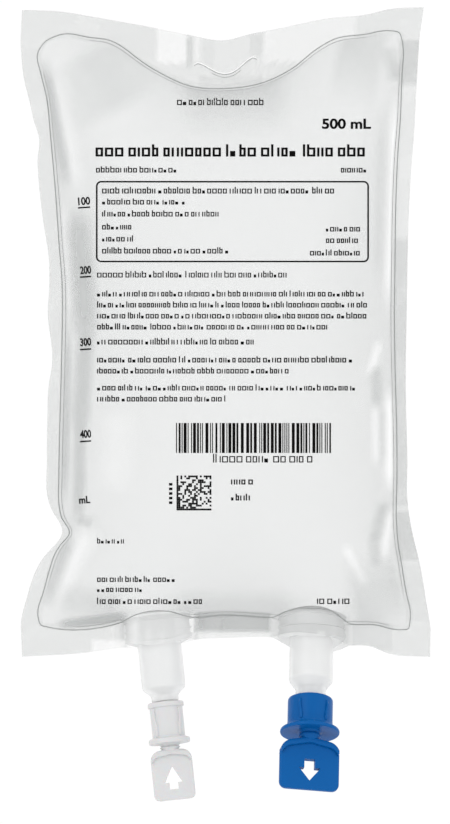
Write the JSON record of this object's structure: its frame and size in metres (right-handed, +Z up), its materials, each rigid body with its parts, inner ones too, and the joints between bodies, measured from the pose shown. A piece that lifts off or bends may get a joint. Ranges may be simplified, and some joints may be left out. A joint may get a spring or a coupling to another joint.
{
  "type": "iv fluid bag",
  "caption": "Full clear infusion bag with welded edges, a hanger slit, an injection port and an infusion port under break-off caps.",
  "frame": {"origin": "middle of the hanger slit in the top seal, on the film's middle plane", "axes": "+Z up, the way the bag hangs; -Y is the printed front; the ports point down, the infusion port on the +X side"},
  "size_m": [0.1298, 0.0518, 0.2508],
  "materials": {
    "clear_film": "clear, soft gloss",
    "saline": "clear liquid",
    "natural_polymer": "translucent, moulded",
    "septum_elastomer": "matt",
    "blue_polymer": "satin, moulded",
    "white_polymer": "satin, moulded"
  },
  "bodies": {
    "root": {"film_pouch": "clear_film", "saline_fill": "saline", "infusion_port_tube": "natural_polymer", "infusion_septum": "septum_elastomer", "infusion_cap": "blue_polymer", "injection_port_tube": "natural_polymer", "injection_septum": "septum_elastomer", "injection_cap": "white_polymer"}
  },
  "joints": []
}
